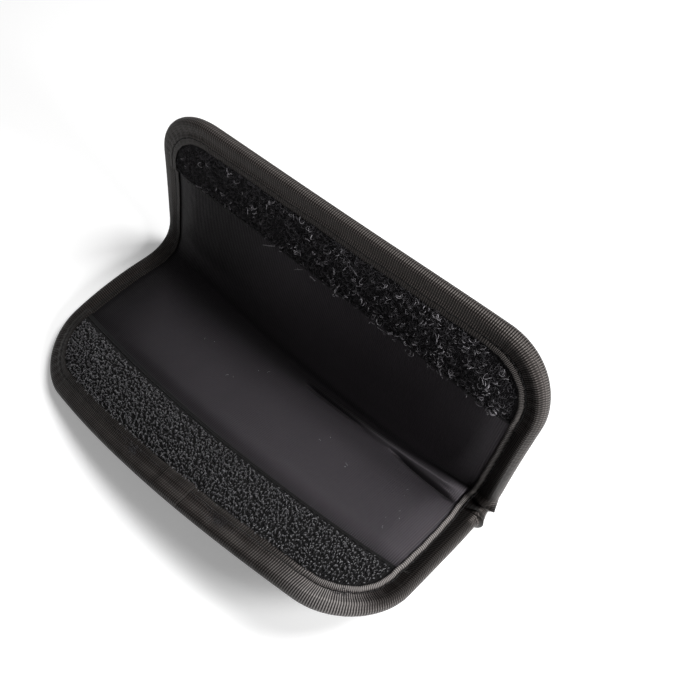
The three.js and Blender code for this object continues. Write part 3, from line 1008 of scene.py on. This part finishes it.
# section of the tape: side, inset from the rim, height over the sheet below; round the
# rim, where the side is 0, the last number is the angle of the turn instead
bindingSection = [
    (-1, 8.0, 0.12), (-1, 7.95, 0.42), (-1, 7.7, 0.56), (-1, 7.1, 0.6), (-1, 6.4, 0.52),
    (-1, 5.9, 0.36), (-1, 5.5, 0.22), (-1, 5.1, 0.32), (-1, 4.5, 0.5), (-1, 3.7, 0.62),
    (-1, 2.9, 0.62), (-1, 2.2, 0.56), (-1, 1.6, 0.5),
    *[(0, 1.6, angle) for angle in range(-66, 67, 22)],
    (1, 1.6, 0.5), (1, 2.2, 0.58), (1, 2.9, 0.66), (1, 3.7, 0.66), (1, 4.5, 0.5),
    (1, 5.0, 0.3), (1, 5.4, 0.16), (1, 5.8, 0.24), (1, 6.1, 0.5), (1, 6.45, 0.78),
    (1, 6.85, 0.86), (1, 7.2, 0.74), (1, 7.45, 0.45), (1, 7.5, 0.1),
]
puckers = [  # along, across, depth, width
    (73, -48, 0.75, 2.2),
    (72, -53, 0.5, 1.6),
    (66, -59, 0.35, 1.8),
    (-14, -61, 0.3, 2.0),
    (22, -61, 0.35, 2.2),
    (-56, -61, 0.3, 1.5),
]
pleat = {  # where the fold gathers the tape at the right end, in mm
    "places": (-1.1, -6.9), "height": 1.7, "rise": 4.8, "drop": 0.5, "lift": 1.3, "skew": -0.2,
    "drawnIn": 0.3, "drawnPlace": -5, "drawnWidth": 7,
    "widening": 1.2, "wideningPlace": -3, "wideningWidth": 8,
    "fullness": 0.95, "fullRun": (35, 65),
}


def pleatsAt(v0, inset, side):
    # the pleats run askew across the face of the tape
    out = -pleat["drawnIn"] * bell(v0 - pleat["drawnPlace"], pleat["drawnWidth"])
    for place in pleat["places"]:
        run = v0 - place + pleat["skew"] * inset * (side > 0)
        slide = np.clip(np.where(run > 0, run / pleat["rise"], -run / pleat["drop"]), 0, 1)
        out = out + pleat["height"] * (1 - slide) ** 1.2
    return out


def puckerAt(u, v):
    sink = np.zeros_like(u)
    for place, across, depth, width in puckers:
        sink = sink + depth * bell(np.hypot(u - place, v - across), width)
    return sink


def tapePoints(along, side, inset, lift):
    # a place on the binding, in the flat pad's mm
    u0, v0, inU, inV = rimAt(along)
    atFold = (inU < -0.99).astype(float)
    corner = (np.abs(inU) > 0.02) & (np.abs(inV) > 0.02)
    out = pleatsAt(v0, inset, side) * atFold
    lap = binding["lapStep"] * smooth((along - rimLength + 0.5) / binding["lapRamp"])
    full = pleat["lift"] * np.maximum(out, 0) * (1 - rising(inset, 1.5, 7)) + lap
    sink = puckerAt(u0 + 3 * inU, v0 + 3 * inV)
    gather = binding["gather"] * np.sin(along * 2 * math.pi / binding["gatherPitch"])
    ripple = np.where(corner, gather * np.clip(inset / 5, 0, 1), 0)
    # the sewn-down parts wander a little
    wander = 0.1 * np.sin(along * 0.23) + 0.05 * np.sin(along * 0.83 + 1)
    wander = wander + 0.03 * np.sin(along * 2.1 + 2)
    inset = np.where(side == 0, inset, inset + wander * rising(inset, 3, 6))
    fullness = pleat["fullness"] * rising(u0, *pleat["fullRun"])
    full = full + fullness * bell(inset - 2.2, 1.9) * (side > 0)
    # the seam pulls hardest at the right end
    rightEndShare = 0.2 + 0.8 * rising(u0, *binding["rightRun"])
    slack = binding["slackPuff"] * (1 - rising(inset, 5, 7.5)) + binding["slack"]
    lift = np.where((side > 0) & (inset > 4), slack + (lift - slack) * rightEndShare, lift)
    widen = pleat["widening"] * bell(v0 - pleat["wideningPlace"], pleat["wideningWidth"])
    reach = inset + widen * atFold * rising(inset, 3, 6)
    u, v = u0 + inU * reach, v0 + inV * reach
    puff = bell(inset - 3.2, 2.4)
    front = bindingFront(u, v) + lift + full - sink * bell(inset - 3.4, 1.8) + ripple * 0.8 * puff
    under = bindingUnder(u, v) - lift - full * 0.5 - ripple * puff
    # the rim itself is a half round between the two faces
    turn = np.radians(lift)
    rimTurn = binding["rimTurn"]
    shoulderU, shoulderV = u0 + inU * rimTurn, v0 + inV * rimTurn
    high = bindingFront(shoulderU, shoulderV) + binding["shoulder"] + full
    low = bindingUnder(shoulderU, shoulderV) - binding["shoulder"] - full * 0.5
    rimInset = rimTurn - (rimTurn + out) * np.cos(turn)
    rimHeight = (high + low) / 2 + (high - low) / 2 * np.sin(turn)
    height = np.where(side == 0, rimHeight, np.where(side > 0, front, under))
    u = np.where(side == 0, u0 + inU * rimInset, u)
    v = np.where(side == 0, v0 + inV * rimInset, v)
    return np.stack([u, v, height], 1)


def bindingMarks(along):
    # the share towards the right end, and where shade and highlight are painted: shade in the trough, on
    # the pleats and on the left part, a highlight on the lip and on the lower right rim
    u0, v0, inU, inV = rimAt(along)
    rightEndShare = rising(u0, *binding["rightRun"])
    atFold = rising(u0, 68, 73)
    aboveFold = rising(v0, -1.2, -0.4) * (1 - 0.5 * rising(v0, 12, 32))
    betweenPleats = rising(v0, -7, -6.2) * rising(v0, -3.4, -4.6)
    belowPleats = rising(v0, -9, -11)
    shade = np.maximum(np.maximum(aboveFold, betweenPleats), belowPleats)
    tucked = np.zeros_like(v0)
    for place in pleat["places"]:
        tucked = tucked + rising(v0, place, place + 0.5) * rising(v0, place + 4, place + 1.5)
    return {
        "rightEndShare": rightEndShare,
        "hollow": rightEndShare * rising(v0, -60, -46) * (1 - 0.3 * rising(v0, -1, 2)),
        "shade": shade * atFold,
        "pale": rightEndShare * (0.2 + 0.8 * rising(v0, -1, -4)),
        "tucked": 0.85 * tucked * atFold,
        "leftShade": (1 - rightEndShare) * rising(v0, 30, 10),
        "glare": 0.7 * bell(np.hypot(u0 - 60, v0 + 62), 14),
    }


def makeBinding():
    length = rimLength + binding["lapLength"]
    rows = len(bindingSection) - 1
    mesh = flatGrid("bindingTape", round(length / binding["step"]), rows)
    grid = readCorners(mesh)
    along = (grid[:, 0] + 0.5) * length
    pick = np.rint((grid[:, 1] + 0.5) * rows).astype(int)
    section = np.array(bindingSection, dtype=float)[pick]
    flat = tapePoints(along, section[:, 0], section[:, 1], section[:, 2])
    markWeave(mesh, np.stack([along, binding["rowPitch"] * pick], 1))
    markPoints(mesh, bindingMarks(along))
    writeCorners(mesh, bentOver(flat))
    piece = shown("bindingTape", mesh, bindingCloth)
    thicken(piece, binding["thickness"])
    return piece


bindingTape = makeBinding()
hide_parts("edge_binding")
print("binding folded over the rim")

stitches = {  # in mm
    "rimInset": 5.5, "rimPitch": 2.4, "rimLength": 2.2, "rimRadius": 0.17,
    "frontHeight": 0.32, "backHeight": 0.3,
    "tapePitch": 2.5, "tapeLength": 2.3, "tapeRadius": 0.15, "tapeInset": 1.3, "tapeEnds": 0.6,
    "spread": 0.05, "turnSpread": 0.06,
}


def stitchTemplate(length, radius):
    profile = [(-0.5, -0.2), (-0.36, 0.06), (0, 0.12), (0.36, 0.06), (0.5, -0.2)]
    path = [(length * share, 0, height) for share, height in profile]
    return meshOf(tubeAlong(path, radius, 5), "stitchShape")


def makeRimStitches(name, side, proud):
    template = stitchTemplate(stitches["rimLength"], stitches["rimRadius"])
    count = round(rimLength / stitches["rimPitch"])
    places = []
    for i in range(count):
        turn = dice.gauss(0, stitches["turnSpread"])
        off = dice.gauss(0, stitches["spread"])
        places.append((0, placed(i * rimLength / count, off, 0, turn)))
    mesh = scattered(name, [template], places)
    local = readCorners(mesh)
    along, offset, height = local[:, 0], local[:, 1], local[:, 2]
    sides = np.full(len(along), side)
    flat = tapePoints(np.mod(along, rimLength), sides, stitches["rimInset"] + offset, height + proud)
    writeCorners(mesh, bentOver(flat))
    if side < 0:
        mesh.flip_normals()
    shown(name, mesh, strands["sewingThread"])


def makeTapeStitches(name, side):
    template = stitchTemplate(stitches["tapeLength"], stitches["tapeRadius"])
    places = []
    v = side * (tape["inner"] + stitches["tapeInset"])
    reach = float(halfLengthAt(v, tape["bindingFace"])) - stitches["tapeEnds"]
    count = int(2 * reach / stitches["tapePitch"])
    for i in range(count + 1):
        off = dice.gauss(0, stitches["spread"])
        turn = dice.gauss(0, stitches["spread"])
        places.append((0, placed(-reach + 2 * reach * i / count, v + off, 0.05, turn)))
    onSurface(name, [template], places, tapeTop, "sewingThread")


makeRimStitches("rimStitchesFront", 1, stitches["frontHeight"])
makeRimStitches("rimStitchesBack", -1, stitches["backHeight"])
makeTapeStitches("hookTapeStitches", -1)
makeTapeStitches("loopTapeStitches", 1)
print("stitched")

lint = {  # in mm; each tuft of fluff is along, across, length, width and how many curls
    "specks": [
        (-13, -20), (-9.5, -12), (24.5, -14.5), (35, -20), (55, -26.5), (-28, -15), (54, -16), (58, -24),
    ],
    "speckRadius": 0.13,
    "fibre": [(-0.5, 0, 0), (-0.2, 0.12, 0.05), (0.15, 0.1, 0.08), (0.5, -0.1, 0)],
    "fibreRadius": 0.03,
    "tufts": [(-14.5, -59, 3.5, 1.4, 70), (23, -59.5, 5, 1.4, 90), (63, -56, 3, 2.0, 60)],
    "curls": [(0.9, 0.5, 0.4, 1.5), (0.6, 0.6, 0.3, 1.8), (1.3, 0.4, 0.3, 1.2)],
    "curlSizes": (0.4, 0.8),
}


def makeLint():
    bm = bmesh.new()
    bmesh.ops.create_icosphere(bm, subdivisions=1, radius=lint["speckRadius"])
    speck = meshOf(bm, "speckShape")
    fibre = meshOf(tubeAlong(lint["fibre"], lint["fibreRadius"], 3), "fibreShape")
    places = []
    for u, v in lint["specks"]:
        turn = dice.uniform(0, 3)
        places.append((0, placed(u, v, 0.1, turn, dice.uniform(0.6, 1.2), 0, 0.6)))
        fibreU = u + dice.uniform(-4, 4)
        fibreV = v + dice.uniform(-4, 4)
        turn = dice.uniform(0, 3)
        places.append((1, placed(fibreU, fibreV, 0.06, turn, dice.uniform(0.6, 1.3))))
    onSurface("liningLint", [speck, fibre], places, liningTop, "lintFluff")


def makeFluff():
    curls = [curlTemplate(*curl) for curl in lint["curls"]]
    places = []
    for u0, v0, wide, deep, count in lint["tufts"]:
        for i in range(count):
            u = u0 + dice.gauss(0, wide / 2)
            v = v0 + dice.gauss(0, deep / 2)
            turn = anyTurn()
            place = placed(u, v, 0.6, turn, dice.uniform(*lint["curlSizes"]))
            places.append((dice.randint(0, 2), place))
    onSurface("bindingFluff", curls, places, bindingFront, "loopNylon")


makeLint()
makeFluff()
print("lint and fluff laid")

studio = {  # places and sizes in metres, powers in watts
    "floorColour": (0.9, 0.9, 0.9), "floorHalf": 4, "floorGlow": 0.27,
    "worldStrength": 0.11,
    "keyPlace": (0.36, 0.45, 0.79), "keySize": 0.34, "keyPower": 8.9,
    "sidePlace": (0.27, 0.055, 0.19), "sideSize": 0.08, "sidePower": 0.8,
    "aim": (0, 0, 0.02),
}


def makeFloor():
    # white paper, which looks a little brighter to the camera than to the pad
    bm = bmesh.new()
    bmesh.ops.create_grid(bm, x_segments=1, y_segments=1, size=studio["floorHalf"])
    mesh = meshOf(bm, "floor")
    paper = Cloth("floorPaper", {
        "Base Color": studio["floorColour"],
        "Roughness": 0.9, "Specular IOR Level": 0.1,
    })
    glow = paper.node("ShaderNodeEmission", {"Strength": studio["floorGlow"]})[0]
    plain = paper.shader.outputs[0]
    bright = paper.node("ShaderNodeAddShader", {0: plain, 1: glow})[0]
    tree = paper.material.node_tree
    look = forCamera(tree.nodes, tree.links, plain, bright)
    tree.links.new(look, tree.nodes["Material Output"].inputs["Surface"])
    mesh.materials.append(paper.material)
    floor = bpy.data.objects.new("floor", mesh)
    scene.collection.objects.link(floor)


def makeLamp(name, place, size, power):
    lamp = bpy.data.lights.new(name, "AREA")
    lamp.size = size
    lamp.energy = power
    piece = bpy.data.objects.new(name, lamp)
    piece.location = place
    towards = Vector(studio["aim"]) - Vector(place)
    piece.rotation_euler = towards.to_track_quat("-Z", "Y").to_euler()
    scene.collection.objects.link(piece)


def makeWorld():
    # a dim sky for the pad, which the camera sees as white
    world = bpy.data.worlds.new("room")
    scene.world = world
    world.use_nodes = True
    nodes, links = world.node_tree.nodes, world.node_tree.links
    sky = nodes["Background"]
    sky.inputs["Strength"].default_value = studio["worldStrength"]
    backdrop = nodes.new("ShaderNodeBackground")
    for shader in (sky, backdrop):
        shader.inputs["Color"].default_value = (*white, 1)
    look = forCamera(nodes, links, sky.outputs[0], backdrop.outputs[0])
    links.new(look, nodes["World Output"].inputs["Surface"])


makeFloor()
makeLamp("keyLamp", studio["keyPlace"], studio["keySize"], studio["keyPower"])
makeLamp("sideLamp", studio["sidePlace"], studio["sideSize"], studio["sidePower"])
makeWorld()
scene.view_settings.view_transform = "Standard"
print("studio lit")
